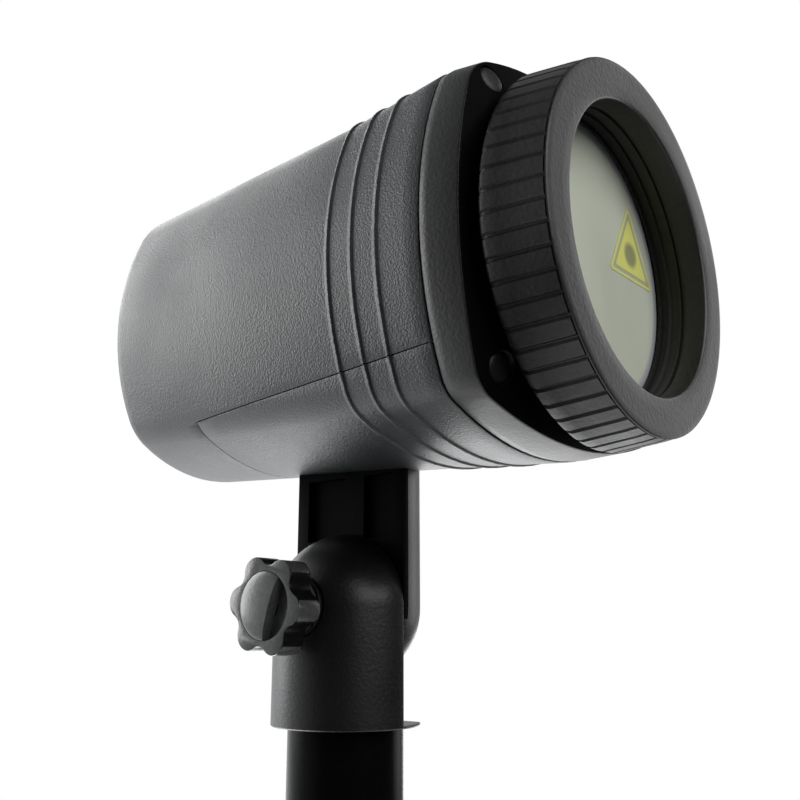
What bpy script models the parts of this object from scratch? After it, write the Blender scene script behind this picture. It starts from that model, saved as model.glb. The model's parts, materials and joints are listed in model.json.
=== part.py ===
"""Light projector on a ground stake: a barrel-shaped lamp head on a half-lap hinge, locked by a star knob.

World frame: +Z up, the lamp looks along -Y, the hinge bolt lies along X with its knob on the -X side.
The origin is on the stake's centre line at the soil line. Lengths are in metres.

Pieces of the head are drawn in the optical frame: x across, y up and z forward along the optical axis.
"""
import math

import bmesh
import bpy
from mathutils import Vector

MM = 0.001
GAP = 0.3 * MM                      # clearance between neighbouring pieces
HALF_GAP = GAP / 2
PI = math.pi

# Where the axes are
PIVOT_Z = 235 * MM                  # hinge bolt above the soil
AXIS_H = 85.2 * MM                  # optical axis above the hinge bolt

# Casing sections: half width, half height, lift, side arc radius, upper and lower corner arc radius, crown
REAR_SECTION = (39.2 * MM, 46.3 * MM, 4.5 * MM, 53.2 * MM, 18.0 * MM, 16.5 * MM, 0.0)
RIBBED_SECTION = (47.6 * MM, 48.2 * MM, 0.9 * MM, 82.0 * MM, 14.8 * MM, 12.5 * MM, 0.0)
JOINT_SECTION = (50.5 * MM, 50.1 * MM, 0.9 * MM, 90.7 * MM, 14.2 * MM, 10.8 * MM, 0.0)
FRONT_SECTION = (49.1 * MM, 48.4 * MM, 0.7 * MM, 125.7 * MM, 13.6 * MM, 9.5 * MM, 0.1)
REAR_U = -71.0 * MM                 # rear face of the casing
RIBBED_U = 34.0 * MM                # the casing flares a little more from here on
JOINT_U = 65.3 * MM                 # where casing and front frame meet
FRONT_U = 76.3 * MM                 # edge of the frame's front, which slopes forward from it
FRONT_SLOPE = 0.28
FRAME_T = 3.3 * MM                  # front wall of the frame
REAR_ROUND = 9 * MM
SHELL_T = 2.6 * MM
RIB_STATIONS = (34.9 * MM, 43.5 * MM, 52.0 * MM)
RIB_HEIGHT = 0.5 * MM
RIB_HALF_WIDTH = 0.9 * MM
SIDE_STEPS, CORNER_STEPS = 3, 4     # facets of half a side arc and of a corner arc

# Seam of the bottom cover: a nearly level plane that drops towards the rear
SEAM_FRONT_H = -28.7 * MM           # height of the seam at JOINT_U
SEAM_SLOPE = math.radians(2.0)
COVER_REAR_U = -30 * MM

# Threaded barrel, glazing and retaining ring
BORE_R = 35.5 * MM
BARREL_R, BARREL_IN_R, BARREL_END_U = 43.4 * MM, 40.0 * MM, 88.0 * MM
LEDGE_U = 80.0 * MM
SEAL_T = 0.7 * MM
LENS_R, LENS_T = 39.5 * MM, 2.0 * MM
RING_REAR_U, RING_FRONT_U = 80.5 * MM, 97.9 * MM
RING_REAR_R, RING_FRONT_R, RING_BORE_R = 49.1 * MM, 47.5 * MM, 37.3 * MM
RING_ROUND = 0.7 * MM
LABEL_X, LABEL_Y, LABEL_SIDE = 21.8 * MM, 8.8 * MM, 25.6 * MM

# Frame screws
SCREW_PLACES = [(x * 35.8 * MM, (1.2 + y * 36.0) * MM) for y in (1, -1) for x in (-1, 1)]
SCREW_WELL_R, SCREW_WELL_DEPTH = 3.85 * MM, 4.0 * MM
SCREW_HEAD_R, SCREW_SHANK_R = 3.45 * MM, 1.6 * MM

# Hinge
HINGE_R = 21.0 * MM
HINGE_EDGE = 1.4 * MM
LEG_TOP_Z = 44 * MM                 # above the bolt, inside the bottom cover's wall
BOLT_R = 3.0 * MM
SEAT_X = 18.6 * MM                  # flat seats for washer and bolt head
SEAT_R = 8.8 * MM
WASHER_R, WASHER_T = 8.2 * MM, 1.2 * MM
KNOB_FACE_X, KNOB_T = 32.8 * MM, 8.0 * MM
KNOB_LOBES = 6
LOBE_PLACE, LOBE_R = 9.3 * MM, 4.2 * MM     # lobes: arcs about points on a circle
VALLEY_PLACE, VALLEY_R = 13.6 * MM, 3.0 * MM
KNOB_PHASE = math.radians(23)
KNOB_HUB_R = 7.5 * MM
CAP_R = 9.0 * MM
CAP_CHORD = 2.9 * MM                # flat side of the cap, from its centre
CAP_DEPTH = 2.4 * MM

# Stake
RIM_Z = -32.0 * MM                  # underside of the head fitting, below the bolt
FLANGE_T, FLANGE_R = 0.8 * MM, 20.9 * MM
FLANGE_REACH = 13 * MM              # flat end of the flange beyond the hinge plane
POST_R, POST_IN_R = 16.25 * MM, 14.0 * MM
SPIGOT_R, SPIGOT_IN_R, SPIGOT_L = 13.7 * MM, 11.2 * MM, 26 * MM
POST_JOINT_Z = 105 * MM
STOP_TOP_Z, STOP_R = 4 * MM, 30 * MM
HUB_TOP_Z = 22 * MM
SPIKE_L = 150 * MM

# Optics inside the head
LASER_R, LASER_L = 6.0 * MM, 36 * MM
LASER_X, LASER_Y = 13 * MM, 4 * MM
GRATING_Y, GRATING_R = -14 * MM, 28 * MM
BRACKET_U, BRACKET_T = 56 * MM, 2.5 * MM
BOARD_Z = 62 * MM                   # underside of the driver board above the hinge bolt
BOARD_T = 1.6 * MM
BOARD_SCREWS = [(x, y) for x in (-20 * MM, 20 * MM) for y in (22 * MM, -34 * MM)]

# Cable gland
GLAND_R = 5.0 * MM
GLAND_BORE_R = 2.2 * MM
GLAND_Y = -22 * MM
GLAND_REACH = 22 * MM               # how far the strain relief stands out of the rear face


# ---------------------------------------------------------------- scene helpers

for old in list(bpy.data.objects):
    bpy.data.objects.remove(old, do_unlink=True)


def collection(name):
    group = bpy.data.collections.new(name)
    bpy.context.scene.collection.children.link(group)
    return group


PARTS = collection("light_projector_stake")
CUTTERS = collection("cutters")


def material(name, colour, roughness, metallic=0.0):
    mat = bpy.data.materials.new(name)
    mat.use_nodes = True
    shader = mat.node_tree.nodes["Principled BSDF"]
    shader.inputs["Base Color"].default_value = (*colour, 1)
    shader.inputs["Roughness"].default_value = roughness
    shader.inputs["Metallic"].default_value = metallic
    mat.diffuse_color = (*colour, 1)
    return mat


SHELL = material("shell_plastic", (0.075, 0.078, 0.082), 0.55)
BLACK = material("black_plastic", (0.02, 0.02, 0.021), 0.42)
GREY = material("knob_plastic", (0.12, 0.12, 0.12), 0.45)
RUBBER = material("rubber", (0.015, 0.015, 0.015), 0.8)
GLASS = material("hazy_glass", (0.45, 0.48, 0.40), 0.2)
YELLOW = material("label_film", (0.85, 0.80, 0.20), 0.5)
STEEL = material("zinc_steel", (0.6, 0.6, 0.58), 0.3, 1.0)
BLACK_STEEL = material("black_steel", (0.05, 0.05, 0.052), 0.45, 0.8)
BRASS = material("brass", (0.72, 0.53, 0.22), 0.3, 1.0)
ALUMINIUM = material("aluminium", (0.72, 0.73, 0.75), 0.35, 1.0)
BOARD = material("circuit_board", (0.03, 0.18, 0.07), 0.5)


def empty(name, location, parent=None, rotation=(0, 0, 0)):
    obj = bpy.data.objects.new(name, None)
    obj.empty_display_size = 0.01
    obj.location = location
    obj.rotation_euler = rotation
    obj.parent = parent
    PARTS.objects.link(obj)
    return obj


def new_object(name, mesh, mat, parent=None, location=(0, 0, 0), rotation=(0, 0, 0), cutter=False):
    """Link a mesh as a node, or as a hidden tool for Booleans."""
    obj = bpy.data.objects.new(name, mesh)
    (CUTTERS if cutter else PARTS).objects.link(obj)
    obj.parent = parent
    obj.location = location
    obj.rotation_euler = rotation
    if mat:
        mesh.materials.append(mat)
    if cutter:
        obj.hide_render = True
        obj.display_type = "WIRE"
    return obj


def mesh_from(bm, name):
    bmesh.ops.recalc_face_normals(bm, faces=bm.faces)
    mesh = bpy.data.meshes.new(name)
    bm.to_mesh(mesh)
    bm.free()
    mesh.shade_smooth()
    mesh.set_sharp_from_angle(angle=math.radians(35))
    return mesh


def round_edges(obj, width, smallest_angle):
    mod = obj.modifiers.new("edges", "BEVEL")
    mod.width = width
    mod.segments = 2
    mod.limit_method = "ANGLE"
    mod.angle_limit = math.radians(smallest_angle)


def boolean(obj, tool, operation):
    mod = obj.modifiers.new(tool.name, "BOOLEAN")
    mod.operation = operation
    mod.solver = "EXACT"
    mod.object = tool


def cut(obj, *tools):
    for tool in tools:
        boolean(obj, tool, "DIFFERENCE")


def join(obj, *tools):
    for tool in tools:
        boolean(obj, tool, "UNION")


def box(name, low, high, mat=None, **place):
    """An axis-aligned block between two corners."""
    bm = bmesh.new()
    bmesh.ops.create_cube(bm, size=1)
    for vert in bm.verts:
        vert.co = [low[i] if vert.co[i] < 0 else high[i] for i in range(3)]
    return new_object(name, mesh_from(bm, name), mat, **place)


def rod(name, radius, z_low, z_high, centre=(0, 0), mat=None, sides=24, **place):
    """A cylinder along local Z between two heights."""
    bm = bmesh.new()
    bmesh.ops.create_cone(bm, cap_ends=True, segments=sides, radius1=radius, radius2=radius,
                          depth=z_high - z_low)
    bmesh.ops.translate(bm, verts=bm.verts, vec=(centre[0], centre[1], (z_low + z_high) / 2))
    return new_object(name, mesh_from(bm, name), mat, **place)


def turned(name, profile, mat=None, steps=36, closed=True, **place):
    """A turned body: the (radius, z) profile runs down its outer side, then back up its inner side.

    An open profile starts and ends on the axis.
    """
    bm = bmesh.new()
    verts = [bm.verts.new((r, 0, z)) for r, z in profile]
    for first, second in zip(verts, verts[1:] + (verts[:1] if closed else [])):
        bm.edges.new((first, second))
    mesh = bpy.data.meshes.new(name)
    bm.to_mesh(mesh)
    bm.free()
    obj = new_object(name, mesh, mat, **place)
    screw = obj.modifiers.new("turn", "SCREW")
    screw.steps = screw.render_steps = steps
    screw.use_merge_vertices = True
    screw.merge_threshold = 0.00001
    screw.use_smooth_shade = True
    return obj


def prism(name, points, z_low, z_high, mat=None, **place):
    """A flat outline extruded along local Z, as a filled 2D curve turned into a mesh."""
    curve = bpy.data.curves.new(name, "CURVE")
    curve.dimensions = "2D"
    curve.fill_mode = "BOTH"
    curve.extrude = (z_high - z_low) / 2
    spline = curve.splines.new("POLY")
    spline.points.add(len(points) - 1)
    for point, (x, y) in zip(spline.points, points):
        point.co = (x, y, 0, 1)
    spline.use_cyclic_u = True
    source = bpy.data.objects.new(name + "_outline", curve)
    bpy.context.scene.collection.objects.link(source)
    graph = bpy.context.evaluated_depsgraph_get()
    flat = bpy.data.meshes.new_from_object(source.evaluated_get(graph))
    bpy.data.objects.remove(source, do_unlink=True)
    bm = bmesh.new()
    bm.from_mesh(flat)
    bpy.data.meshes.remove(flat)
    bmesh.ops.remove_doubles(bm, verts=bm.verts, dist=0.000005)
    bmesh.ops.dissolve_limit(bm, angle_limit=0.01, verts=bm.verts, edges=bm.edges)
    bmesh.ops.translate(bm, verts=bm.verts, vec=(0, 0, (z_low + z_high) / 2))
    return new_object(name, mesh_from(bm, name), mat, **place)


# ---------------------------------------------------------------- casing outline

def quadrant(half_width, side_r, corner_r):
    """A quarter of a square with bulging sides and a round corner, as (x, y, direction of the normal)."""
    centre = half_width - side_r
    corner = (centre + math.sqrt(2 * (side_r - corner_r) ** 2 - centre ** 2)) / 2
    turn = math.atan2(corner, corner - centre)
    points = []
    for i in range(SIDE_STEPS):
        angle = turn * i / SIDE_STEPS
        points.append((centre + side_r * math.cos(angle), side_r * math.sin(angle), angle))
    for i in range(CORNER_STEPS):
        angle = turn + (PI / 2 - 2 * turn) * i / CORNER_STEPS
        points.append((corner + corner_r * math.cos(angle), corner + corner_r * math.sin(angle), angle))
    for i in range(SIDE_STEPS):
        angle = PI / 2 - turn + turn * i / SIDE_STEPS
        points.append((side_r * math.cos(angle), centre + side_r * math.sin(angle), angle))
    return points


def outline(half_width, half_height, lift, side_r, upper_r, lower_r, crown, inset=0.0):
    """A section of the casing as (x, y) points running anticlockwise."""
    points = []
    for side, corner_r in enumerate((upper_r, upper_r, lower_r, lower_r)):
        cos_q, sin_q = math.cos(side * PI / 2), math.sin(side * PI / 2)
        for x, y, angle in quadrant(half_width, side_r, corner_r):
            x, y = x - inset * math.cos(angle), y - inset * math.sin(angle)
            x, y = x * cos_q - y * sin_q, (x * sin_q + y * cos_q) * half_height / half_width
            if side < 2:
                y *= 1 - crown * ((x / half_width) ** 2 - 0.25)
            points.append((x, y + lift))
    return points


def casing_values(u):
    """Half width, half height, lift, arc radii and crown at a station along the optical axis."""
    if u < RIBBED_U:
        start, end, part = REAR_SECTION, RIBBED_SECTION, (u - REAR_U) / (RIBBED_U - REAR_U)
    else:
        start, end, part = RIBBED_SECTION, JOINT_SECTION, (u - RIBBED_U) / (JOINT_U - RIBBED_U)
    return [first + (last - first) * part for first, last in zip(start, end)]


def casing_section(u, inset=0.0):
    return [(x, y, u) for x, y in outline(*casing_values(u), inset=inset)]


def belly_height(x, u):
    """Height of the casing's underside above the hinge bolt."""
    half_height, lift, side_r = casing_values(u)[1:4]
    return AXIS_H + lift - half_height + side_r - math.sqrt(side_r ** 2 - x ** 2)


def loft(loops, cap_first=False, cap_last=False):
    """A skin over closed loops of points, with a flat cap on either end if asked."""
    bm = bmesh.new()
    rows = [[bm.verts.new(point) for point in loop] for loop in loops]
    for lower, upper in zip(rows, rows[1:]):
        for i in range(len(lower)):
            j = (i + 1) % len(lower)
            bm.faces.new((lower[i], lower[j], upper[j], upper[i]))
    if cap_first:
        bm.faces.new(reversed(rows[0]))
    if cap_last:
        bm.faces.new(rows[-1])
    return bm


def casing_loops():
    """Stations of the casing from its rear face, round the rear edge, over the ribs to the joint."""
    loops = []
    for step in range(5):
        angle = step / 4 * PI / 2
        loops.append(casing_section(REAR_U + REAR_ROUND * (1 - math.cos(angle)),
                                    REAR_ROUND * (1 - math.sin(angle))))
    for station in RIB_STATIONS:
        loops.append(casing_section(station - RIB_HALF_WIDTH))
        loops.append(casing_section(station, -RIB_HEIGHT))
        loops.append(casing_section(station + RIB_HALF_WIDTH))
    loops.append(casing_section(JOINT_U))
    return loops


def casing_skin(name, **place):
    obj = new_object(name, mesh_from(loft(casing_loops(), cap_first=True), name), SHELL, **place)
    wall = obj.modifiers.new("wall", "SOLIDIFY")
    wall.thickness = SHELL_T
    wall.offset = -1
    wall.use_even_offset = True
    return obj


def seam_block(name, clearance, **place):
    """The space below the seam, from behind the cover's rear edge to beyond the joint."""
    reach = 90 * MM
    rear = COVER_REAR_U - clearance
    slope = math.tan(SEAM_SLOPE)

    def seam(u):
        return SEAM_FRONT_H - (JOINT_U - u) * slope + clearance

    bm = bmesh.new()
    side = [(rear, seam(rear)), (reach, seam(reach)), (reach, -reach), (rear, -reach)]
    faces = [[bm.verts.new((x, y, u)) for u, y in side] for x in (-reach, reach)]
    bm.faces.new(faces[0])
    bm.faces.new(faces[1])
    for i in range(4):
        bm.faces.new((faces[0][i], faces[0][i - 1], faces[1][i - 1], faces[1][i]))
    return new_object(name, mesh_from(bm, name), None, cutter=True, **place)


# ---------------------------------------------------------------- lamp head

def screw_boss(obj, index, parent):
    """A screw post in the casing's corner with a blind hole for a frame screw."""
    centre = SCREW_PLACES[index]
    join(obj, rod(f"boss_{index + 1}", 4.0 * MM, JOINT_U - 14 * MM, JOINT_U - 0.2 * MM, centre,
                  sides=16, parent=parent, cutter=True))
    return rod(f"boss_hole_{index + 1}", SCREW_SHANK_R + GAP, JOINT_U - 11 * MM, JOINT_U + 2 * MM, centre,
               sides=12, parent=parent, cutter=True)


def main_shell(parent):
    """Upper and rear casing, open below for the bottom cover."""
    obj = casing_skin("main_shell", parent=parent)
    cut(obj, seam_block("cover_space", HALF_GAP, parent=parent))
    holes = [screw_boss(obj, index, parent) for index in (0, 1)]
    cut(obj, *holes)
    cut(obj, rod("gland_hole", GLAND_R + GAP, REAR_U - 5 * MM, REAR_U + 8 * MM, (0, GLAND_Y),
                 parent=parent, cutter=True))


def hinge_half(name, sign, profile, parent, cutter=False):
    """A turned round post cut flat on the hinge plane; sign picks the X side that is kept."""
    obj = turned(name, profile, BLACK, closed=False, parent=parent, cutter=cutter)
    reach = 90 * MM
    x_low, x_high = (-reach, HALF_GAP) if sign > 0 else (-HALF_GAP, reach)
    cut(obj, box(name + "_plane", (x_low, -reach, -reach), (x_high, reach, reach), parent=parent, cutter=True))
    round_edges(obj, HINGE_EDGE, 60)
    return obj


def dome():
    """Quarter circle from the axis to the side of the hinge post, as (radius, z) points."""
    arc = [(0, HINGE_R)]
    for step in range(1, 8):
        angle = step / 7 * PI / 2
        arc.append((HINGE_R * math.sin(angle), HINGE_R * math.cos(angle)))
    return arc


def across(name, radius, x_low, x_high, parent):
    """A cutter for a round hole along the hinge axis."""
    return rod(name, radius, x_low, x_high, parent=parent, rotation=(0, PI / 2, 0), cutter=True)


def bottom_cover(optical, tilt):
    """Belly of the casing with the hinge leg moulded on, and the posts that carry the driver board."""
    obj = casing_skin("bottom_cover", parent=optical)
    boolean(obj, seam_block("cover_block", -HALF_GAP, parent=optical), "INTERSECT")
    foot = [(r, -z) for r, z in reversed(dome())]
    leg = hinge_half("leg", 1, [(0, LEG_TOP_Z), (HINGE_R, LEG_TOP_Z)] + foot, tilt, cutter=True)
    join(obj, leg)
    for index, (x, y) in enumerate(BOARD_SCREWS):
        join(obj, rod(f"board_post_{index + 1}", 2.6 * MM, belly_height(x, -y) + SHELL_T / 2, BOARD_Z, (x, y),
                      sides=8, parent=tilt, cutter=True))
    holes = [screw_boss(obj, index, optical) for index in (2, 3)]
    cut(obj, *holes)
    recess = 1.8 * MM
    for name, y_low, y_high in (("leg_pocket_front", -17 * MM, -5.9 * MM),
                                ("leg_pocket_rear", 1.9 * MM, 17 * MM)):
        cut(obj, box(name, (-5 * MM, y_low, 20 * MM), (recess, y_high, 38 * MM), parent=tilt, cutter=True))
    cut(obj, across("leg_bore", BOLT_R + GAP, -5 * MM, 30 * MM, tilt))
    cut(obj, across("leg_seat", SEAT_R, SEAT_X, 30 * MM, tilt))


def front_frame(parent):
    """Rounded-square frame that closes the casing, with screw wells and the threaded barrel."""
    rear_u = JOINT_U + GAP
    edge, reach = 0.7 * MM, 11 * MM
    loops = [[(x, y, rear_u) for x, y in outline(*JOINT_SECTION, inset=0.5 * MM)]]
    loops.append([(x, y, rear_u + 2.5 * MM) for x, y in outline(*JOINT_SECTION)])
    for step in range(3):
        angle = step / 2 * PI / 2
        loops.append([(x, y, FRONT_U - edge * (1 - math.sin(angle)))
                      for x, y in outline(*FRONT_SECTION, inset=edge * (1 - math.cos(angle)))])
    loops.append([(x * (1 - reach / math.hypot(x, y)), y * (1 - reach / math.hypot(x, y)),
                   FRONT_U + FRONT_SLOPE * reach) for x, y in outline(*FRONT_SECTION, inset=edge)])
    mesh = mesh_from(loft(loops, cap_first=True, cap_last=True), "front_frame")
    obj = new_object("front_frame", mesh, BLACK, parent=parent)
    join(obj, rod("barrel", BARREL_R, FRONT_U - 4 * MM, BARREL_END_U, sides=64, parent=parent, cutter=True))
    cut(obj, rod("frame_pocket", 45 * MM, rear_u - 5 * MM, FRONT_U - FRAME_T, sides=48,
                 parent=parent, cutter=True))
    cut(obj, rod("frame_bore", BORE_R, FRONT_U - 10 * MM, BARREL_END_U + 5 * MM, sides=64,
                 parent=parent, cutter=True))
    cut(obj, rod("lens_seat", BARREL_IN_R, LEDGE_U, BARREL_END_U + 5 * MM, sides=64,
                 parent=parent, cutter=True))
    for index, centre in enumerate(SCREW_PLACES):
        cut(obj, rod(f"well_{index + 1}", SCREW_WELL_R, FRONT_U - SCREW_WELL_DEPTH, FRONT_U + 5 * MM, centre,
                     sides=20, parent=parent, cutter=True))
        cut(obj, rod(f"well_hole_{index + 1}", SCREW_SHANK_R + GAP, rear_u - 5 * MM, FRONT_U, centre,
                     sides=12, parent=parent, cutter=True))


def frame_screws(parent):
    """Four plain-headed screws that hold the frame to the casing."""
    seat = FRONT_U - SCREW_WELL_DEPTH + GAP / 2
    profile = [(0, 5.0 * MM), (2.4 * MM, 4.8 * MM), (SCREW_HEAD_R, 4.3 * MM), (SCREW_HEAD_R, 0),
               (SCREW_SHANK_R, 0), (SCREW_SHANK_R, -12 * MM), (0, -13.5 * MM)]
    for index, (x, y) in enumerate(SCREW_PLACES):
        turned(f"frame_screw_{index + 1}", profile, BLACK_STEEL, steps=16, closed=False, parent=parent,
               location=(x, y, seat))


def retaining_ring(parent):
    """Screw-on ring: a skirt outside the barrel and a sleeve inside it that traps the glazing."""
    lens_front = LEDGE_U + 2 * GAP + SEAL_T + LENS_T
    floor_u = BARREL_END_U + GAP
    skirt_r = BARREL_R + 0.4 * MM
    sleeve_r = BARREL_IN_R - 0.4 * MM
    mouth = 0.7 * MM
    profile = [
        (RING_BORE_R + mouth, RING_FRONT_U),
        (RING_FRONT_R - RING_ROUND, RING_FRONT_U),
        (RING_FRONT_R - 0.3 * RING_ROUND, RING_FRONT_U - 0.3 * RING_ROUND),
        (RING_FRONT_R, RING_FRONT_U - RING_ROUND),
        (RING_REAR_R, RING_REAR_U + 2.7 * MM),
        (RING_REAR_R - 0.8 * MM, RING_REAR_U + 0.9 * MM),
        (RING_REAR_R - 2.4 * MM, RING_REAR_U),
        (skirt_r, RING_REAR_U),
        (skirt_r, floor_u),
        (sleeve_r, floor_u),
        (sleeve_r, lens_front + GAP),
        (RING_BORE_R, lens_front + GAP),
        (RING_BORE_R, RING_FRONT_U - mouth),
    ]
    turned("retaining_ring", profile, BLACK, steps=56, parent=parent)


def glazing(parent):
    """Rubber seal on the ledge, round lens on the seal, and a plain triangular label on the lens."""
    seal_low = LEDGE_U + GAP / 2
    turned("lens_seal", [(LENS_R, seal_low + SEAL_T), (LENS_R, seal_low), (BORE_R + 0.6 * MM, seal_low),
                         (BORE_R + 0.6 * MM, seal_low + SEAL_T)], RUBBER, parent=parent)
    lens_low = seal_low + SEAL_T + GAP
    rod("lens_glass", LENS_R, lens_low, lens_low + LENS_T, mat=GLASS, sides=64, parent=parent)
    corners = [(LABEL_X + LABEL_SIDE * x, LABEL_Y + LABEL_SIDE * y) for x, y in
               ((0, 0.577), (-0.5, -0.289), (0.5, -0.289))]
    label_low = lens_low + LENS_T + 0.05 * MM
    prism("lens_label", corners, label_low, label_low + 0.2 * MM, YELLOW, parent=parent)


def cable_gland(parent):
    """Strain relief at the rear: a collar and ribbed boot outside, a neck through the wall, a nut inside."""
    wall_in = REAR_U + SHELL_T + GAP
    neck_top = wall_in + 6 * MM
    outer = REAR_U - GAP
    profile = [(GLAND_R, neck_top), (GLAND_R, outer), (GLAND_R + 2.2 * MM, outer),
               (GLAND_R + 2.2 * MM, outer - 2.4 * MM)]
    for rib in range(3):
        low = outer - 4 * MM - rib * 5.4 * MM
        radius = GLAND_R - 0.35 * MM * (rib + 1)
        groove_r = radius - 0.8 * MM
        profile += [(radius, low + 1.6 * MM), (groove_r, low + 1.0 * MM), (groove_r, low),
                    (radius, low - 0.6 * MM)]
    end = REAR_U - GLAND_REACH
    profile += [(3.3 * MM, end), (GLAND_BORE_R, end), (GLAND_BORE_R, neck_top)]
    turned("cable_gland", profile, RUBBER, steps=16, parent=parent, location=(0, GLAND_Y, 0))
    hexagon = [(8.5 * MM * math.cos(k * PI / 3), GLAND_Y + 8.5 * MM * math.sin(k * PI / 3)) for k in range(6)]
    nut = prism("gland_nut", hexagon, wall_in, wall_in + 4 * MM, BLACK, parent=parent)
    cut(nut, rod("nut_bore", GLAND_R + GAP, wall_in - MM, wall_in + 6 * MM, (0, GLAND_Y), parent=parent,
                 cutter=True))


# ---------------------------------------------------------------- inside the head

def laser_bracket(parent):
    """Plate behind the frame that holds both laser modules and the grating motor, on four standoffs."""
    low = BRACKET_U
    obj = box("laser_bracket", (-33 * MM, -24 * MM, low), (33 * MM, 31 * MM, low + BRACKET_T), ALUMINIUM,
              parent=parent)
    top = FRONT_U - FRAME_T - GAP
    for index, centre in enumerate(((-29 * MM, 27 * MM), (29 * MM, 27 * MM), (-31 * MM, -20 * MM),
                                    (31 * MM, -20 * MM))):
        join(obj, rod(f"standoff_{index + 1}", 2.0 * MM, low + MM, top, centre, sides=12, parent=parent,
                      cutter=True))
    for name, centre, radius in (("left_laser_hole", (-LASER_X, LASER_Y), LASER_R),
                                 ("right_laser_hole", (LASER_X, LASER_Y), LASER_R),
                                 ("motor_hole", (0, GRATING_Y), 2.5 * MM)):
        cut(obj, rod(name, radius + GAP, low - 5 * MM, low + 8 * MM, centre, parent=parent, cutter=True))


def laser_modules(parent):
    """Two brass-bodied laser modules with an aperture step at the front."""
    front = BRACKET_U + BRACKET_T + 7 * MM
    for name, x in (("laser_module_red", -LASER_X), ("laser_module_green", LASER_X)):
        profile = [(0, front - 3 * MM), (1.6 * MM, front - 3 * MM), (1.6 * MM, front),
                   (LASER_R - 1.2 * MM, front), (LASER_R, front - 1.2 * MM),
                   (LASER_R, front - LASER_L), (0, front - LASER_L)]
        turned(name, profile, BRASS, steps=16, closed=False, parent=parent, location=(x, LASER_Y, 0))


def heat_sink(parent):
    """Finned block clamped round the green laser module."""
    low, high = BRACKET_U - 26 * MM, BRACKET_U - 4 * MM
    half = 10.5 * MM
    centre = Vector((LASER_X, LASER_Y, 0))
    obj = box("heat_sink", (centre.x - half, centre.y - half, low), (centre.x + half, centre.y + half, high),
              ALUMINIUM, parent=parent)
    cut(obj, rod("sink_bore", LASER_R + GAP, low - MM, high + MM, centre[:2], parent=parent, cutter=True))
    for index in range(4):
        u = low + (3.2 + index * 4.6) * MM
        cut(obj, box(f"sink_gap_{index + 1}", (centre.x - half - MM, centre.y + LASER_R + 1.2 * MM, u),
                     (centre.x + half + MM, centre.y + half + MM, u + 2 * MM), parent=parent, cutter=True))


def grating_drive(parent, spin):
    """Small motor behind the bracket, and the grating wheel that it turns in front of the lasers."""
    back = BRACKET_U - GAP
    rod("grating_motor", 6.0 * MM, back - 14 * MM, back, (0, GRATING_Y), STEEL, parent=parent)
    wheel_u = BRACKET_U + BRACKET_T + 8.6 * MM
    shaft_r = 1.0 * MM
    profile = [(0, wheel_u + 1.5 * MM), (3 * MM, wheel_u + 1.5 * MM), (3 * MM, wheel_u + 1.0 * MM),
               (GRATING_R, wheel_u + 1.0 * MM), (GRATING_R, wheel_u), (3.0 * MM, wheel_u),
               (3.0 * MM, wheel_u - 3 * MM), (shaft_r, wheel_u - 3 * MM), (shaft_r, BRACKET_U + GAP),
               (0, BRACKET_U + GAP)]
    turned("grating_wheel", profile, GLASS, steps=28, closed=False, parent=spin)


def driver_board(parent):
    """Circuit board above the belly with its transformer, capacitor and terminal block."""
    low = BOARD_Z + GAP
    top = low + BOARD_T
    obj = box("driver_board", (-25 * MM, -40 * MM, low), (25 * MM, 30 * MM, top), BOARD, parent=parent)
    join(obj, box("transformer", (-12 * MM, 8 * MM, top - 0.4 * MM), (6 * MM, 26 * MM, top + 13 * MM),
                  parent=parent, cutter=True))
    join(obj, rod("capacitor", 5 * MM, top - 0.4 * MM, top + 11 * MM, (15 * MM, 16 * MM), sides=16,
                  parent=parent, cutter=True))
    join(obj, box("terminal_block", (-12 * MM, -38 * MM, top - 0.4 * MM), (6 * MM, -30 * MM, top + 7 * MM),
                  parent=parent, cutter=True))
    for index, (x, y) in enumerate(BOARD_SCREWS):
        profile = [(0, 1.6 * MM), (1.8 * MM, 1.3 * MM), (2.4 * MM, 0.6 * MM), (2.4 * MM, 0), (0, 0)]
        turned(f"board_screw_{index + 1}", profile, STEEL, steps=12, closed=False, parent=parent,
               location=(x, y, top + GAP))


# ---------------------------------------------------------------- hinge hardware

def hinge_bolt(parent):
    """Round-head bolt through both hinge halves, head on the far side and thread under the knob."""
    head = SEAT_X + GAP
    profile = [(0, head + 3.4 * MM), (3.5 * MM, head + 3.0 * MM), (6.0 * MM, head + 1.6 * MM),
               (6.0 * MM, head), (BOLT_R, head), (BOLT_R, -28.6 * MM),
               (BOLT_R - 0.6 * MM, -29.3 * MM), (0, -29.3 * MM)]
    turned("hinge_bolt", profile, STEEL, steps=16, closed=False, parent=parent, rotation=(0, PI / 2, 0))


def knob_washer(parent):
    inner = BOLT_R + GAP
    low, high = SEAT_X + GAP, SEAT_X + GAP + WASHER_T
    profile = [(WASHER_R, high), (WASHER_R, low), (inner, low), (inner, high)]
    turned("knob_washer", profile, BLACK_STEEL, steps=20, parent=parent, rotation=(0, -PI / 2, 0))


def star_outline():
    """Rounded lobes joined by hollow arcs, as (x, y) points."""
    points = []
    half_turn = PI / KNOB_LOBES
    valley = Vector((math.cos(half_turn), math.sin(half_turn))) * VALLEY_PLACE
    joint = math.atan2(valley.y, valley.x - LOBE_PLACE)
    for lobe in range(KNOB_LOBES):
        turn = KNOB_PHASE + lobe * 2 * half_turn
        arcs = [(LOBE_PLACE + LOBE_R * math.cos(share * joint), LOBE_R * math.sin(share * joint))
                for share in (-1, -0.5, 0, 0.5, 1)]
        for share in (0.35, 0.65):
            angle = PI + joint + share * 2 * (half_turn - joint)
            arcs.append((valley.x + VALLEY_R * math.cos(angle), valley.y + VALLEY_R * math.sin(angle)))
        points += [(x * math.cos(turn) - y * math.sin(turn), x * math.sin(turn) + y * math.cos(turn))
                   for x, y in arcs]
    return points


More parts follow.
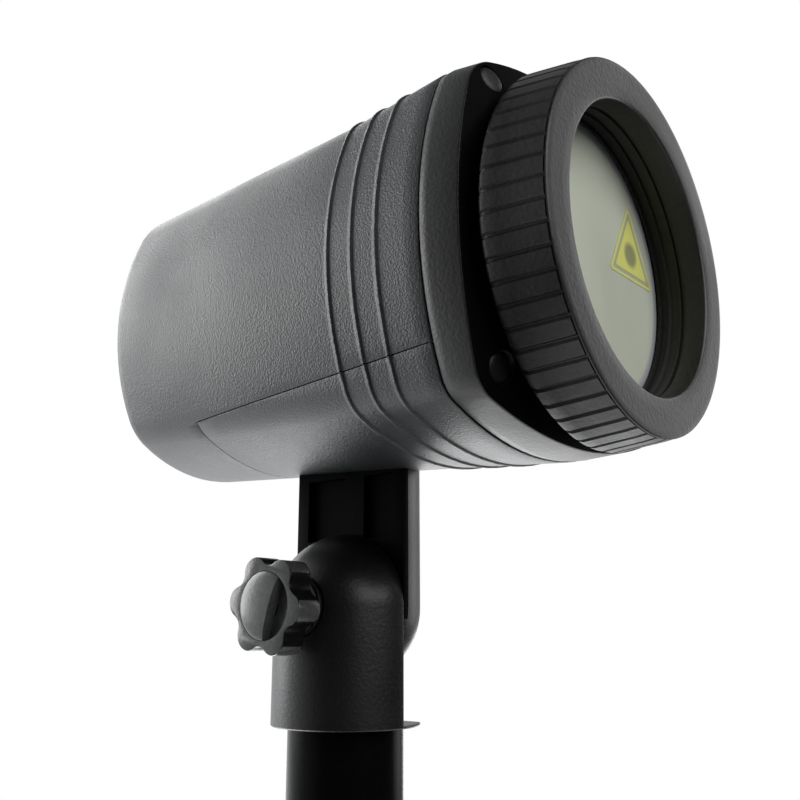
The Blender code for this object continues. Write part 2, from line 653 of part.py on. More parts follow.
def star_knob(parent):
    """Six-lobed knob: local Z points out along -X, local X points up."""
    low = KNOB_FACE_X - KNOB_T
    obj = prism("star_knob", star_outline(), low, KNOB_FACE_X, GREY, parent=parent)
    round_edges(obj, 0.9 * MM, 50)
    join(obj, rod("knob_hub", KNOB_HUB_R, SEAT_X + 2 * GAP + WASHER_T, low + MM, sides=32, parent=parent,
                  cutter=True))
    cut(obj, rod("knob_bore", BOLT_R + GAP, SEAT_X - 2 * MM, KNOB_FACE_X + MM, parent=parent, cutter=True))
    cut(obj, rod("cap_recess", CAP_R + GAP, KNOB_FACE_X - CAP_DEPTH, KNOB_FACE_X + 2 * MM, sides=28,
                 parent=parent, cutter=True))


def knob_cap(parent):
    """Slightly domed disc in the knob's face with one flat side."""
    floor_z = KNOB_FACE_X - CAP_DEPTH + GAP / 2
    rise, edge = 1.9 * MM, 1.6 * MM
    profile = [(0, floor_z + edge + rise)]
    for step in range(1, 5):
        angle = step / 4 * PI / 2
        profile.append((CAP_R * math.sin(angle), floor_z + edge + rise * math.cos(angle)))
    profile += [(CAP_R, floor_z), (0, floor_z)]
    obj = turned("knob_cap", profile, GREY, steps=28, closed=False, parent=parent)
    cut(obj, box("cap_flat", (-20 * MM, -20 * MM, floor_z - MM), (20 * MM, -CAP_CHORD, floor_z + 9 * MM),
                 parent=parent, rotation=(0, 0, math.radians(-18)), cutter=True))


# ---------------------------------------------------------------- stake

def stake_head(parent):
    """Lower hinge half on a thin round flange, with a hollow spigot that plugs into the post."""
    obj = hinge_half("stake_head", -1, dome() + [(HINGE_R, RIM_Z), (0, RIM_Z)], parent)
    flange = rod("flange", FLANGE_R, RIM_Z, RIM_Z + FLANGE_T, sides=48, parent=parent, cutter=True)
    cut(flange, box("flange_end", (FLANGE_REACH, -30 * MM, RIM_Z - MM), (30 * MM, 30 * MM, RIM_Z + 3 * MM),
                    parent=parent, cutter=True))
    join(obj, flange)
    join(obj, rod("spigot", SPIGOT_R, RIM_Z - SPIGOT_L, RIM_Z + 0.5 * MM, sides=32, parent=parent,
                  cutter=True))
    cut(obj, rod("spigot_bore", SPIGOT_IN_R, RIM_Z - SPIGOT_L - MM, RIM_Z - 2 * MM, sides=32,
                 parent=parent, cutter=True))
    cut(obj, box("core_pocket", (-14 * MM, -14 * MM, RIM_Z + 5 * MM), (5 * MM, 14 * MM, -13 * MM),
                 parent=parent, cutter=True))
    cut(obj, across("head_bore", BOLT_R + GAP, -30 * MM, 5 * MM, parent))
    cut(obj, across("head_seat", SEAT_R, -30 * MM, -SEAT_X, parent))


def posts():
    """Upper and lower tubes; the lower one has a stepped neck that plugs into the upper one."""
    top = PIVOT_Z + RIM_Z - GAP
    turned("post_upper", [(POST_R, top), (POST_R, POST_JOINT_Z), (POST_IN_R, POST_JOINT_Z),
                          (POST_IN_R, top)], BLACK)
    shoulder = POST_JOINT_Z - GAP
    neck_top = shoulder + SPIGOT_L
    turned("post_lower", [(SPIGOT_R, neck_top), (SPIGOT_R, shoulder), (POST_R, shoulder),
                          (POST_R, HUB_TOP_Z + GAP), (POST_IN_R, HUB_TOP_Z + GAP), (POST_IN_R, shoulder - 8 * MM),
                          (SPIGOT_IN_R, shoulder - 4 * MM), (SPIGOT_IN_R, neck_top)], BLACK)


def ground_spike():
    """Spigot, hub and round stop plate above the soil, four tapering blades below it."""
    obj = turned("ground_spike", [(SPIGOT_IN_R, HUB_TOP_Z + SPIGOT_L), (SPIGOT_R, HUB_TOP_Z + SPIGOT_L),
                                  (SPIGOT_R, HUB_TOP_Z), (POST_R, HUB_TOP_Z), (POST_R + 1.5 * MM, STOP_TOP_Z),
                                  (STOP_R, STOP_TOP_Z), (STOP_R, 0), (0, 0), (0, STOP_TOP_Z),
                                  (SPIGOT_IN_R, STOP_TOP_Z)], BLACK)
    half, tip, thick, overlap = 13 * MM, 1.5 * MM, 1.6 * MM, 1 * MM
    for index, turn in enumerate((0, PI / 2)):
        blade = [(-half, overlap), (-half, -0.35 * SPIKE_L), (-tip, -SPIKE_L), (tip, -SPIKE_L),
                 (half, -0.35 * SPIKE_L), (half, overlap)]
        join(obj, prism(f"blade_{index + 1}", blade, -thick, thick, cutter=True, rotation=(PI / 2, 0, turn)))


# ---------------------------------------------------------------- assembly

def build():
    pan = empty("pan_axis", (0, 0, PIVOT_Z + RIM_Z))
    fixed = empty("hinge_centre", (0, 0, -RIM_Z), pan)
    tilt = empty("tilt_axis", (0, 0, -RIM_Z), pan)
    optical = empty("optical_axis", (0, 0, AXIS_H), tilt, rotation=(PI / 2, 0, 0))
    ring_axis = empty("ring_axis", (0, 0, 0), optical)
    spin = empty("grating_axis", (0, GRATING_Y, 0), optical)
    knob_axis = empty("knob_axis", (0, 0, 0), fixed, rotation=(0, -PI / 2, 0))

    main_shell(optical)
    bottom_cover(optical, tilt)
    front_frame(optical)
    frame_screws(optical)
    retaining_ring(ring_axis)
    glazing(optical)
    cable_gland(optical)
    laser_bracket(optical)
    laser_modules(optical)
    heat_sink(optical)
    grating_drive(optical, spin)
    driver_board(tilt)
    hinge_bolt(tilt)
    knob_washer(fixed)
    star_knob(knob_axis)
    knob_cap(knob_axis)
    stake_head(fixed)
    posts()
    ground_spike()


build()
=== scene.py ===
import json
import math

import bmesh
import bpy
from mathutils import Matrix, Vector


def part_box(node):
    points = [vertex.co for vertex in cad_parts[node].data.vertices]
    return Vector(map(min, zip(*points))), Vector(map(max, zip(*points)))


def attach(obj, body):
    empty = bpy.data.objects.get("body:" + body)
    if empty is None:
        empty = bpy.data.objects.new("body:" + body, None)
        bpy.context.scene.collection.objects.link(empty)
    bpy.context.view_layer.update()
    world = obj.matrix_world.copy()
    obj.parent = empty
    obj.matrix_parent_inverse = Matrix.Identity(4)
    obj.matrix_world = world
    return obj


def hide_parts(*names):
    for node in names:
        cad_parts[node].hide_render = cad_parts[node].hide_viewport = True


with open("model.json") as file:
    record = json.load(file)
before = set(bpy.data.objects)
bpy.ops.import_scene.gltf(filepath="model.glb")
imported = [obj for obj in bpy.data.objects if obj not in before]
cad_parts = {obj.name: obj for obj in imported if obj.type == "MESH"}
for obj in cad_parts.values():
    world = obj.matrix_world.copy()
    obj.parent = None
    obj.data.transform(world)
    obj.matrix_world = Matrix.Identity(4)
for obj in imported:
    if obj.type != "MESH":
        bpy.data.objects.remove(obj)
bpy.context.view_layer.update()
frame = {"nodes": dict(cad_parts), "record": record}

# Light projector on a ground stake. World frame: +Z up, the lamp looks along -Y, the hinge bolt lies along X.
# Head pieces are drawn in the optical frame: x across, y up, z forward from the hinge plane.

MM = 0.001
PI = math.pi


# ---------------------------------------------------------------- places read from the frame

def joint_place(name):
    for joint in frame["record"]["behaviour"]["joints"]:
        if joint["name"] == name:
            return Vector(joint["pos_m"])


def depth(node, end):
    """How far a node reaches forward (1) or starts (0) along the optical axis."""
    low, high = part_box(node)
    return -low[1] if end else -high[1]


PIVOT_Z = joint_place("head_tilt").z
AXIS_Z = joint_place("ring_turn").z
LENS_FRONT = depth("lens_glass", 1)
RING_REAR, RING_FRONT = depth("retaining_ring", 0), depth("retaining_ring", 1)
JOINT_U = depth("main_shell", 1)
REAR_U = depth("main_shell", 0)
FRAME_REAR = depth("front_frame", 0)
HINGE_R = -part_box("stake_head")[0][0]
POST_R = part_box("post_upper")[1][0]
POST_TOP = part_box("post_upper")[1][2]
POST_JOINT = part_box("post_upper")[0][2]
SPIKE_LOW, SPIKE_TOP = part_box("ground_spike")[0][2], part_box("ground_spike")[1][2]
STOP_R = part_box("ground_spike")[1][0]

OPTICAL = Matrix(((1, 0, 0, 0), (0, 0, -1, 0), (0, 1, 0, AXIS_Z), (0, 0, 0, 1)))
KNOB = Matrix(((0, 0, -1, 0), (0, 1, 0, 0), (1, 0, 0, PIVOT_Z), (0, 0, 0, 1)))
BOLT = Matrix(((0, 0, 1, 0), (0, 1, 0, 0), (-1, 0, 0, PIVOT_Z), (0, 0, 0, 1)))
HINGE = Matrix.Translation((0, 0, PIVOT_Z))
WORLD = Matrix.Identity(4)

# Casing sections: half width, half height, lift, side arc radius, upper and lower corner arc radius, crown
REAR_SECTION = (39.2 * MM, 46.3 * MM, 4.5 * MM, 53.2 * MM, 18.0 * MM, 16.5 * MM, 0.0)
RIBBED_SECTION = (47.6 * MM, 48.2 * MM, 0.9 * MM, 82.0 * MM, 14.8 * MM, 12.5 * MM, 0.0)
JOINT_SECTION = (50.5 * MM, 50.1 * MM, 0.9 * MM, 90.7 * MM, 14.2 * MM, 10.8 * MM, 0.0)
FRONT_SECTION = (49.1 * MM, 48.4 * MM, 0.7 * MM, 125.7 * MM, 13.6 * MM, 9.5 * MM, 0.1)
RIBBED_U = 34 * MM
FRONT_U = 76.3 * MM
FRONT_SLOPE, SLOPE_REACH = 0.28, 11 * MM
RIB_STATIONS = (34.9 * MM, 43.5 * MM, 52.0 * MM)
SEAM_FRONT_H = -28.7 * MM
SEAM_SLOPE = math.radians(2.0)
COVER_REAR_U = -30 * MM
BORE_R = 37.3 * MM
KNOB_FACE = 32.8 * MM
KNOB_PHASE = math.radians(23)


# ---------------------------------------------------------------- materials

def new_material(name, colour, roughness, metallic=0.0):
    mat = bpy.data.materials.new(name)
    mat.use_nodes = True
    shader = mat.node_tree.nodes["Principled BSDF"]
    shader.inputs["Base Color"].default_value = (*colour, 1)
    shader.inputs["Roughness"].default_value = roughness
    shader.inputs["Metallic"].default_value = metallic
    return mat, mat.node_tree, shader


def node(tree, kind, **values):
    item = tree.nodes.new(kind)
    for key, value in values.items():
        if key in item.inputs:
            item.inputs[key].default_value = value
        else:
            setattr(item, key, value)
    return item


def coordinates(tree, stretch=(1, 1, 1)):
    """Object coordinates in metres, stretched per axis."""
    coords = tree.nodes.new("ShaderNodeTexCoord")
    mapping = tree.nodes.new("ShaderNodeMapping")
    mapping.inputs["Scale"].default_value = stretch
    tree.links.new(coords.outputs["Object"], mapping.inputs["Vector"])
    return mapping.outputs["Vector"]


def noise(tree, vector, scale, detail=2.0):
    tex = node(tree, "ShaderNodeTexNoise", Scale=scale, Detail=detail)
    tree.links.new(vector, tex.inputs["Vector"])
    return tex.outputs["Fac"]


def cells(tree, vector, scale):
    tex = node(tree, "ShaderNodeTexVoronoi", Scale=scale)
    tree.links.new(vector, tex.inputs["Vector"])
    return tex.outputs["Distance"]


def remap(tree, value, low, high, from_low=0.3, from_high=0.7):
    item = node(tree, "ShaderNodeMapRange")
    item.inputs["From Min"].default_value = from_low
    item.inputs["From Max"].default_value = from_high
    item.inputs["To Min"].default_value = low
    item.inputs["To Max"].default_value = high
    tree.links.new(value, item.inputs["Value"])
    return item.outputs["Result"]


def math_node(tree, operation, first, second):
    item = node(tree, "ShaderNodeMath", operation=operation)
    for index, value in enumerate((first, second)):
        if isinstance(value, (int, float)):
            item.inputs[index].default_value = value
        else:
            tree.links.new(value, item.inputs[index])
    return item.outputs["Value"]


def tint(tree, shader, dark, light, value):
    mix = node(tree, "ShaderNodeMix", data_type="RGBA")
    mix.inputs["A"].default_value = (*dark, 1)
    mix.inputs["B"].default_value = (*light, 1)
    tree.links.new(value, mix.inputs["Factor"])
    tree.links.new(mix.outputs["Result"], shader.inputs["Base Color"])


def bump(tree, shader, height, strength, distance):
    item = node(tree, "ShaderNodeBump", Strength=strength, Distance=distance)
    tree.links.new(height, item.inputs["Height"])
    tree.links.new(item.outputs["Normal"], shader.inputs["Normal"])


def scaled(colour, factor):
    return tuple(channel * factor for channel in colour)


def moulded(name, colour, roughness, grain, strength, spread=0.25, streaks=(1, 1, 1), specular=0.5):
    """Moulded plastic: fine spark-eroded grain, faint clouding and handling marks."""
    mat, tree, shader = new_material(name, colour, roughness)
    vector = coordinates(tree)
    fine = noise(tree, vector, 1000 / grain, 3.0)
    pits = cells(tree, vector, 1000 / grain)
    cloud = noise(tree, coordinates(tree, streaks), 28, 4.0)
    height = math_node(tree, "ADD", fine, math_node(tree, "MULTIPLY", pits, 0.6))
    bump(tree, shader, height, strength, 0.25 * MM)
    mixed = math_node(tree, "ADD", math_node(tree, "MULTIPLY", fine, 0.5),
                      math_node(tree, "MULTIPLY", cloud, 0.5))
    tint(tree, shader, scaled(colour, 1 - spread), scaled(colour, 1 + spread),
         remap(tree, mixed, 0, 1, 0.35, 0.65))
    tree.links.new(remap(tree, cloud, roughness - 0.06, roughness + 0.06), shader.inputs["Roughness"])
    shader.inputs["Specular IOR Level"].default_value = specular
    return mat


def ring_black(name):
    """Satin black whose reflection fades from the ring's face to its back: painted shade over the ring's
    rear.
    """
    mat = moulded(name, (0.016, 0.016, 0.0155), 0.42, 1.1, 0.22, 0.35)
    tree = mat.node_tree
    parts = node(tree, "ShaderNodeSeparateXYZ")
    tree.links.new(coordinates(tree), parts.inputs["Vector"])
    # Painted shade: specular falls from the ring's face towards its back
    rear_shade = remap(tree, parts.outputs["Y"], 0.66, 0.08, -RING_FRONT, -RING_REAR)
    tree.links.new(rear_shade, tree.nodes["Principled BSDF"].inputs["Specular IOR Level"])
    return mat


def metal(name, colour, roughness, stretch, strength=0.15):
    """Turned or rolled metal with fine tool lines."""
    mat, tree, shader = new_material(name, colour, roughness, 1.0)
    lines = noise(tree, coordinates(tree, stretch), 400, 4.0)
    bump(tree, shader, lines, strength, 0.05 * MM)
    tint(tree, shader, scaled(colour, 0.8), colour, remap(tree, lines, 0, 1))
    tree.links.new(remap(tree, lines, roughness - 0.08, roughness + 0.1), shader.inputs["Roughness"])
    return mat


def radius_from(tree, x, z):
    """Distance from an axis along Y through world x and z."""
    parts = node(tree, "ShaderNodeSeparateXYZ")
    tree.links.new(coordinates(tree), parts.inputs["Vector"])
    across = math_node(tree, "SUBTRACT", parts.outputs["X"], x)
    up = math_node(tree, "SUBTRACT", parts.outputs["Z"], z)
    square = math_node(tree, "ADD", math_node(tree, "MULTIPLY", across, across),
                       math_node(tree, "MULTIPLY", up, up))
    return math_node(tree, "SQRT", square, 0.0)


def hazy_lens(name):
    """Hazy grey-green glass with a darker, cooler band painted at its rim as shade where it meets the ring's
    bore, and faint smears.
    """
    mat, tree, shader = new_material(name, (0.66, 0.70, 0.58), 0.4)
    radius = radius_from(tree, 0.0, AXIS_Z)
    smear = noise(tree, coordinates(tree, (1, 1, 0.4)), 60, 5.0)
    # Painted shade: the glass darkens towards its rim next to the bore wall
    edge = remap(tree, radius, 0, 1, 35.0 * MM, 36.6 * MM)
    body = node(tree, "ShaderNodeMix", data_type="RGBA")
    body.inputs["A"].default_value = (0.64, 0.68, 0.56, 1)
    body.inputs["B"].default_value = (0.69, 0.73, 0.61, 1)
    tree.links.new(remap(tree, smear, 0, 1), body.inputs["Factor"])
    rim = node(tree, "ShaderNodeMix", data_type="RGBA")
    rim.inputs["B"].default_value = (0.42, 0.42, 0.45, 1)
    tree.links.new(edge, rim.inputs["Factor"])
    tree.links.new(body.outputs["Result"], rim.inputs["A"])
    tree.links.new(rim.outputs["Result"], shader.inputs["Base Color"])
    tree.links.new(remap(tree, smear, 0.34, 0.46), shader.inputs["Roughness"])
    shader.inputs["Transmission Weight"].default_value = 0.12
    shader.inputs["Specular IOR Level"].default_value = 0.3
    return mat


def label_ink(name, colour, dot=False):
    """Printed film: matt ink with slight mottle, and a soft plain dot if asked."""
    mat, tree, shader = new_material(name, colour, 0.4)
    grain = noise(tree, coordinates(tree), 900, 3.0)
    if dot:
        away = remap(tree, radius_from(tree, LABEL[0], AXIS_Z + LABEL[1]), 0, 1, 2.6 * MM, 4.4 * MM)
        mottled = math_node(tree, "ADD", away, math_node(tree, "MULTIPLY", grain, 0.12))
        tint(tree, shader, (0.30, 0.31, 0.17), colour, mottled)
    else:
        tint(tree, shader, scaled(colour, 0.88), colour, grain)
    bump(tree, shader, grain, 0.1, 0.03 * MM)
    return mat


def circuit(name):
    """Green solder mask over faint square tracks."""
    mat, tree, shader = new_material(name, (0.02, 0.13, 0.05), 0.35)
    tracks = node(tree, "ShaderNodeTexVoronoi", distance="CHEBYCHEV", Scale=260.0)
    tree.links.new(coordinates(tree), tracks.inputs["Vector"])
    tint(tree, shader, (0.012, 0.085, 0.03), (0.03, 0.19, 0.07),
         remap(tree, tracks.outputs["Distance"], 0, 1))
    bump(tree, shader, tracks.outputs["Distance"], 0.2, 0.05 * MM)
    return mat


def grating_film(name):
    """Clear embossed film: fine crossed lines give it a faint sheen."""
    mat, tree, shader = new_material(name, (0.62, 0.66, 0.64), 0.15)
    wave = node(tree, "ShaderNodeTexWave", Scale=900.0, Distortion=0.5)
    tree.links.new(coordinates(tree), wave.inputs["Vector"])
    bump(tree, shader, wave.outputs["Fac"], 0.2, 0.02 * MM)
    tint(tree, shader, (0.5, 0.55, 0.58), (0.7, 0.72, 0.66), wave.outputs["Fac"])
    shader.inputs["Transmission Weight"].default_value = 0.5
    return mat


LABEL = (22.3 * MM, 8.9 * MM)
SHELL = moulded("shell_grain", (0.027, 0.029, 0.031), 0.43, 0.6, 0.5, 0.45)
FRAME_BLACK = moulded("frame_satin", (0.014, 0.014, 0.014), 0.42, 0.9, 0.25)
HINGE_BLACK = moulded("hinge_satin", (0.005, 0.005, 0.005), 0.36, 1.0, 0.15)
# Painted shade: a darker, almost unreflective copy of the black plastic, laid on faces that sit in deep shade
SHADE_BLACK = moulded("painted_shade_matte", (0.003, 0.003, 0.003), 0.5, 0.8, 0.1, specular=0.015)
POST_BLACK = moulded("post_gloss", (0.003, 0.003, 0.003), 0.27, 1.4, 0.08, 0.3, (1, 1, 0.1), 0.06)
SPIKE_BLACK = moulded("spike_matte", (0.018, 0.018, 0.018), 0.5, 0.9, 0.3)
KNOB_GREY = moulded("knob_satin", (0.072, 0.073, 0.073), 0.26, 1.0, 0.12)
# Painted shade: a much darker copy of the knob grey for the flanks in the hollows between the lobes
KNOB_FLANK_SHADE = moulded("knob_flank_shade", (0.006, 0.006, 0.006), 0.3, 1.0, 0.12, specular=0.2)
CAP_GREY = moulded("cap_satin", (0.078, 0.080, 0.080), 0.27, 1.2, 0.1)
RUBBER = moulded("soft_rubber", (0.02, 0.02, 0.02), 0.7, 0.8, 0.3)
SCREW_BLACK = moulded("black_screw", (0.010, 0.010, 0.010), 0.4, 0.7, 0.2, specular=0.3)
ZINC = metal("zinc_plate", (0.62, 0.62, 0.60), 0.3, (1, 6, 1))
ALUMINIUM = metal("bare_aluminium", (0.74, 0.75, 0.77), 0.35, (1, 1, 8))
BRASS = metal("turned_brass", (0.75, 0.55, 0.24), 0.28, (1, 8, 1))
LENS = hazy_lens("hazy_glass")
INK_LINE = label_ink("label_line", (0.82, 0.82, 0.30))
INK_FIELD = label_ink("label_field", (0.80, 0.80, 0.22), dot=True)
INK_BACK = label_ink("label_back", (0.50, 0.53, 0.36))
BOARD = circuit("circuit_board")
FILM = grating_film("grating_film")


# ---------------------------------------------------------------- mesh helpers

SMOOTH = 32    # degrees between faces up to which an edge is shaded smooth


def piece(name, mesh_data, material, matrix, smooth=SMOOTH):
    """A piece from a bmesh, moved into the world frame."""
    bmesh.ops.recalc_face_normals(mesh_data, faces=mesh_data.faces)
    mesh = bpy.data.meshes.new(name)
    mesh_data.to_mesh(mesh)
    mesh_data.free()
    mesh.transform(matrix)
    if matrix.determinant() < 0:
        mesh.flip_normals()
    mesh.shade_smooth()
    mesh.set_sharp_from_angle(angle=math.radians(smooth))
    mesh.materials.append(material)
    obj = bpy.data.objects.new(name, mesh)
    bpy.context.scene.collection.objects.link(obj)
    return obj


def bevel(obj, width, angle=35, segments=3):
    mod = obj.modifiers.new("edges", "BEVEL")
    mod.width = width
    mod.segments = segments
    mod.limit_method = "ANGLE"
    mod.angle_limit = math.radians(angle)


def settle(obj):
    """Replace a piece's mesh by its modified shape."""
    graph = bpy.context.evaluated_depsgraph_get()
    mesh = bpy.data.meshes.new_from_object(obj.evaluated_get(graph))
    obj.modifiers.clear()
    obj.data = mesh
    mesh.shade_smooth()
    mesh.set_sharp_from_angle(angle=math.radians(SMOOTH))


def carve(obj, tools, operation="DIFFERENCE"):
    """Cut tools out of a piece (or add them to it) and drop the tools."""
    for tool in tools:
        mod = obj.modifiers.new(tool.name, "BOOLEAN")
        mod.operation = operation
        mod.solver = "EXACT"
        mod.object = tool
    settle(obj)
    for tool in tools:
        bpy.data.objects.remove(tool, do_unlink=True)


def repaint(obj, material, wanted):
    """Give another material to the faces that pass a test."""
    obj.data.materials.append(material)
    for face in obj.data.polygons:
        if wanted(face):
            face.material_index = len(obj.data.materials) - 1


def hand_over(obj, body, slot, *nodes):
    """The piece rides on its body and stands for its CAD nodes."""
    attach(obj, body)
    if nodes:
        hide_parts(*nodes)


def lathe(profile, steps=96, closed=True):
    """A profile of (radius, z) turned about local Z."""
    bm = bmesh.new()
    rows = []
    for radius, z in profile:
        if radius < 1e-9:
            rows.append([bm.verts.new((0, 0, z))])
            continue
        circle = [(radius * math.cos(2 * PI * i / steps), radius * math.sin(2 * PI * i / steps))
                  for i in range(steps)]
        rows.append([bm.verts.new((x, y, z)) for x, y in circle])
    pairs = list(zip(rows, rows[1:]))
    if closed:
        pairs.append((rows[-1], rows[0]))
    for first, second in pairs:
        for i in range(steps):
            j = (i + 1) % steps
            corners = [first[i % len(first)], first[j % len(first)],
                       second[j % len(second)], second[i % len(second)]]
            unique = list(dict.fromkeys(corners))
            if len(unique) > 2:
                bm.faces.new(unique)
    return bm


def block(low, high):
    bm = bmesh.new()
    bmesh.ops.create_cube(bm, size=1)
    for vert in bm.verts:
        vert.co = [low[i] if vert.co[i] < 0 else high[i] for i in range(3)]
    return bm


def slab(points, z_low, z_high):
    """A flat outline given a thickness."""
    bm = bmesh.new()
    lower = [bm.verts.new((x, y, z_low)) for x, y in points]
    upper = [bm.verts.new((x, y, z_high)) for x, y in points]
    bm.faces.new(lower)
    bm.faces.new(upper)
    for i in range(len(points)):
        j = (i + 1) % len(points)
        bm.faces.new((lower[i], lower[j], upper[j], upper[i]))
    return bm


def tube_tool(name, radius, z_low, z_high, matrix, centre=(0, 0), steps=64):
    bm = lathe([(0, z_low), (radius, z_low), (radius, z_high), (0, z_high)], steps, closed=False)
    return piece(name, bm, FRAME_BLACK, matrix @ Matrix.Translation((*centre, 0)))


def loft(loops, cap_first=False, cap_last=False):
    bm = bmesh.new()
    rows = [[bm.verts.new(point) for point in loop] for loop in loops]
    for lower, upper in zip(rows, rows[1:]):
        for i in range(len(lower)):
            j = (i + 1) % len(lower)
            bm.faces.new((lower[i], lower[j], upper[j], upper[i]))
    for wanted, row in ((cap_first, rows[0]), (cap_last, rows[-1])):
        if wanted:
            bm.faces.new(row)
    return bm


# ---------------------------------------------------------------- casing

SIDE_STEPS, CORNER_STEPS = 8, 9


def quadrant(half_width, side_r, corner_r):
    """A quarter of a square with bulging sides and a round corner, as (x, y, direction of the normal)."""
    centre = half_width - side_r
    corner = (centre + math.sqrt(2 * (side_r - corner_r) ** 2 - centre ** 2)) / 2
    turn = math.atan2(corner, corner - centre)
    points = []
    for i in range(SIDE_STEPS):
        angle = turn * i / SIDE_STEPS
        points.append((centre + side_r * math.cos(angle), side_r * math.sin(angle), angle))
    for i in range(CORNER_STEPS):
        angle = turn + (PI / 2 - 2 * turn) * i / CORNER_STEPS
        points.append((corner + corner_r * math.cos(angle), corner + corner_r * math.sin(angle), angle))
    for i in range(SIDE_STEPS):
        angle = PI / 2 - turn + turn * i / SIDE_STEPS
        points.append((side_r * math.cos(angle), centre + side_r * math.sin(angle), angle))
    return points


def outline(values, inset=0.0):
    """A section of the casing as (x, y) points running anticlockwise."""
    half_width, half_height, lift, side_r, upper_r, lower_r, crown = values
    points = []
    for side, corner_r in enumerate((upper_r, upper_r, lower_r, lower_r)):
        cos_q, sin_q = math.cos(side * PI / 2), math.sin(side * PI / 2)
        for x, y, angle in quadrant(half_width, side_r, corner_r):
            x, y = x - inset * math.cos(angle), y - inset * math.sin(angle)
            x, y = x * cos_q - y * sin_q, (x * sin_q + y * cos_q) * half_height / half_width
            if side < 2:
                y *= 1 - crown * ((x / half_width) ** 2 - 0.25)
            points.append((x, y + lift))
    return points


def casing_section(u, inset=0.0):
    """The casing's outline at a station; it flares a little more from the first rib forward."""
    first, last, low, high = ((REAR_SECTION, RIBBED_SECTION, REAR_U, RIBBED_U) if u < RIBBED_U
                              else (RIBBED_SECTION, JOINT_SECTION, RIBBED_U, JOINT_U))
    part = (u - low) / (high - low)
    values = [a + (b - a) * part for a, b in zip(first, last)]
    return [(x, y, u) for x, y in outline(values, inset)]


def casing_loops():
    """From the middle of the rear face, round the rear edge, over the ribs to the rounded joint edge."""
    rear_round = 8.8 * MM
    rim = casing_section(REAR_U, rear_round)
    loops = [[(x * part, y * part, u) for x, y, u in rim] for part in (0.2, 0.5, 0.8)]
    for step in range(9):
        angle = step / 8 * PI / 2
        loops.append(casing_section(REAR_U + rear_round * (1 - math.cos(angle)),
                                    rear_round * (1 - math.sin(angle))))
    for station in [value * MM for value in (-50, -36, -22, -8, 6, 20, 31)]:
        loops.append(casing_section(station))
    for station in RIB_STATIONS:
        for offset, rise in ((-1.5, 0.0), (-0.85, 0.0), (-0.6, 0.22), (-0.25, 0.5), (0.25, 0.5), (0.6, 0.22),
                             (0.85, 0.0), (1.5, 0.0)):
            loops.append(casing_section(station + offset * MM, -rise * MM))
    for back, inset in ((5.0, 0.0), (0.5, 0.0), (0.15, 0.15), (0.0, 0.5)):
        loops.append(casing_section(JOINT_U - back * MM, inset * MM))
    return loops


def split_casing(lower):
    """The casing's outer skin on one side of the cover seam."""
    gap = 0.13 * MM
    shift = -gap if lower else gap
    bm = loft(casing_loops(), cap_first=True)
    slope = math.tan(SEAM_SLOPE)
    seam_height = SEAM_FRONT_H + shift
    seam_point = Vector((0, seam_height, JOINT_U))
    seam_normal = Vector((0, 1, -slope)).normalized()
    rear_u = COVER_REAR_U - shift
    for point, normal in ((seam_point, seam_normal), (Vector((0, 0, rear_u)), Vector((0, 0, 1)))):
        bmesh.ops.bisect_plane(bm, geom=bm.verts[:] + bm.edges[:] + bm.faces[:], dist=1e-7,
                               plane_co=point, plane_no=normal)
    dropped = []
    for face in bm.faces:
        centre = face.calc_center_median()
        inside = (centre - seam_point).dot(seam_normal) < 0 and centre.z > rear_u
        if inside != lower:
            dropped.append(face)
    bmesh.ops.delete(bm, geom=dropped, context="FACES")
    bmesh.ops.remove_doubles(bm, verts=bm.verts, dist=0.02 * MM)
    return bm


def casing_shell(name, lower):
    obj = piece(name, split_casing(lower), SHELL, OPTICAL, smooth=40)
    wall = obj.modifiers.new("wall", "SOLIDIFY")
    wall.thickness = 2.2 * MM
    wall.offset = -1
    bevel(obj, 0.22 * MM, 60, 2)
    return obj


def casing():
    upper = casing_shell("casing_upper", False)
    hand_over(upper, "lamp", "shell_plastic", "main_shell")
    cover = casing_shell("casing_belly", True)
    hand_over(cover, "lamp", "shell_plastic", "bottom_cover")


